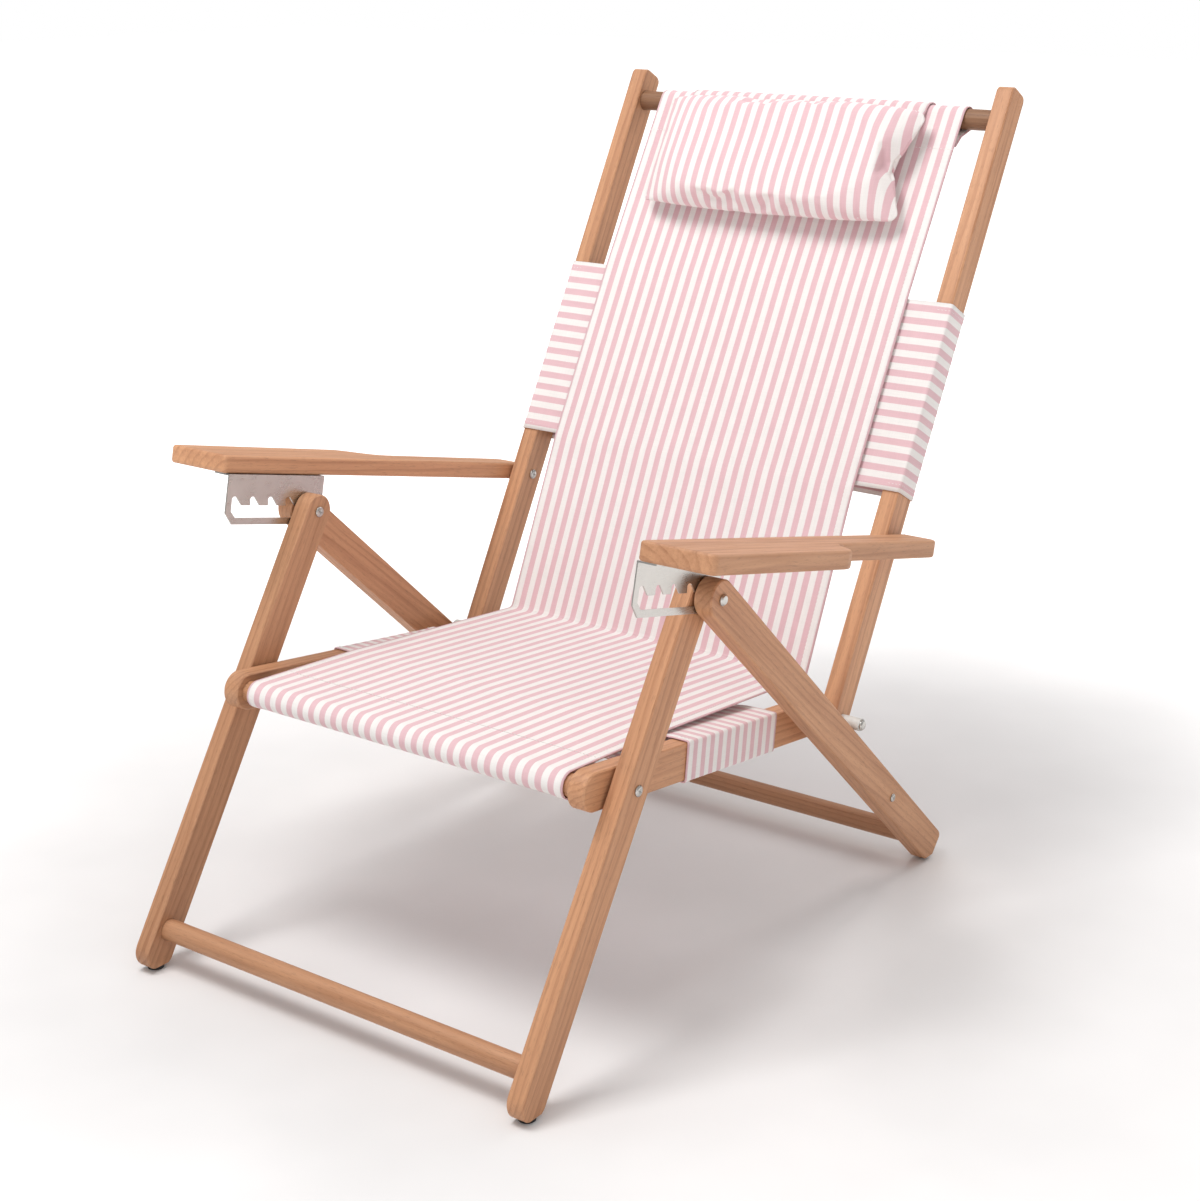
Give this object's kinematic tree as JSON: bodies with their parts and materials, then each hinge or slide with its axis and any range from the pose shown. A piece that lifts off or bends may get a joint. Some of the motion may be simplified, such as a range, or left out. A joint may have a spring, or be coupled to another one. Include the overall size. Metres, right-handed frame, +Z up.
{
  "type": "beach chair",
  "caption": "Folding, reclining beach chair with a wooden frame, a striped fabric sling, flat armrests on notched brackets and a headrest pillow.",
  "frame": {"origin": "on the ground, at the centre of the chair's box seen from above, with the chair open", "axes": "+Z up; the sitter faces -Y, so +X is the sitter's left; every hinge runs along X"},
  "size_m": [0.652, 0.868, 0.8238],
  "materials": {
    "wood": "oiled hardwood, satin",
    "steel": "zinc-plated, satin",
    "sling_cloth": "woven canvas, pink and white lengthwise stripes",
    "band_cloth": "woven canvas, pink and white stripes across the frame member",
    "pillow_cloth": "woven canvas, pink and white stripes",
    "foot_rubber": "matt black",
    "spacer_plastic": "light grey"
  },
  "bodies": {
    "front_legs": {"front_leg_left": "wood", "front_leg_right": "wood", "front_foot_rod": "wood", "leg_pivot_bolt_left": "steel", "leg_pivot_bolt_right": "steel", "leg_pivot_nut_left": "steel", "leg_pivot_nut_right": "steel", "front_foot_pad_left": "foot_rubber", "front_foot_pad_right": "foot_rubber"},
    "rear_legs": {"rear_leg_left": "wood", "rear_leg_right": "wood", "rear_foot_rod": "wood", "rear_foot_pad_left": "foot_rubber", "rear_foot_pad_right": "foot_rubber", "rear_leg_screw_left": "steel", "rear_leg_screw_right": "steel"},
    "seat_frame": {"seat_rail_left": "wood", "seat_rail_right": "wood", "seat_front_rod": "wood", "seat_pivot_bolt_left": "steel", "seat_pivot_bolt_right": "steel", "seat_pivot_nut_left": "steel", "seat_pivot_nut_right": "steel", "seat_pivot_washer_left": "steel", "seat_pivot_washer_right": "steel", "seat_support_band": "band_cloth", "sling_seat": "sling_cloth"},
    "back_pivots": {"back_pivot_bolt_left": "steel", "back_pivot_bolt_right": "steel", "back_pivot_nut_left": "steel", "back_pivot_nut_right": "steel", "back_pivot_washer_left": "steel", "back_pivot_washer_right": "steel", "leg_rest_spacer_left": "spacer_plastic", "leg_rest_spacer_right": "spacer_plastic"},
    "back_frame": {"back_post_left": "wood", "back_post_right": "wood", "back_top_rod": "wood", "back_support_band": "band_cloth", "sling_back": "sling_cloth", "pillow": "pillow_cloth", "pillow_flap": "pillow_cloth"},
    "arm_bolts": {"arm_pivot_bolt_left": "steel", "arm_pivot_bolt_right": "steel"},
    "arm_washers": {"arm_pivot_washer_left": "steel", "arm_pivot_washer_right": "steel"},
    "armrest_left": {"armrest_left": "wood", "ratchet_bracket_left": "steel", "bracket_screw_front_left": "steel", "bracket_screw_rear_left": "steel"},
    "armrest_right": {"armrest_right": "wood", "ratchet_bracket_right": "steel", "bracket_screw_front_right": "steel", "bracket_screw_rear_right": "steel"}
  },
  "joints": [
    {"name": "fold", "type": "hinge", "parent": "front_legs", "child": "seat_frame", "pos_m": [0, -0.26608, 0.259], "axis": [1, 0, 0], "range_deg": [-96, 0]},
    {"name": "rear_leg_swing", "type": "hinge", "parent": "front_legs", "child": "rear_legs", "pos_m": [0, -0.16858, 0.41504], "axis": [1, 0, 0], "range_deg": [-79.68, 0]},
    {"name": "back_pivot_turn", "type": "hinge", "parent": "seat_frame", "child": "back_pivots", "pos_m": [0, 0.09267, 0.21368], "axis": [1, 0, 0], "range_deg": [0, 92.64]},
    {"name": "recline", "type": "hinge", "parent": "back_pivots", "child": "back_frame", "pos_m": [0, 0.09267, 0.21368], "axis": [-1, 0, 0], "range_deg": [0, 38]},
    {"name": "arm_bolt_turn", "type": "hinge", "parent": "back_frame", "child": "arm_bolts", "pos_m": [0, 0.1841, 0.38137], "axis": [1, 0, 0], "range_deg": [-94.95, 0]},
    {"name": "arm_washer_turn", "type": "hinge", "parent": "arm_bolts", "child": "arm_washers", "pos_m": [0, 0.1841, 0.38137], "axis": [1, 0, 0], "range_deg": [0, 28.7]},
    {"name": "arm_lift_left", "type": "hinge", "parent": "arm_washers", "child": "armrest_left", "pos_m": [0, 0.1841, 0.38137], "axis": [-1, 0, 0], "range_deg": [-1.5, 0]},
    {"name": "arm_lift_right", "type": "hinge", "parent": "arm_washers", "child": "armrest_right", "pos_m": [0, 0.1841, 0.38137], "axis": [-1, 0, 0], "range_deg": [-1.5, 0]}
  ],
  "couplings": [
    {"joint": "rear_leg_swing", "follows": "fold", "ratio": 0.83},
    {"joint": "back_pivot_turn", "follows": "fold", "ratio": -0.9649},
    {"joint": "arm_bolt_turn", "follows": "fold", "ratio": 0.989},
    {"joint": "arm_washer_turn", "follows": "recline", "ratio": 0.7539}
  ]
}
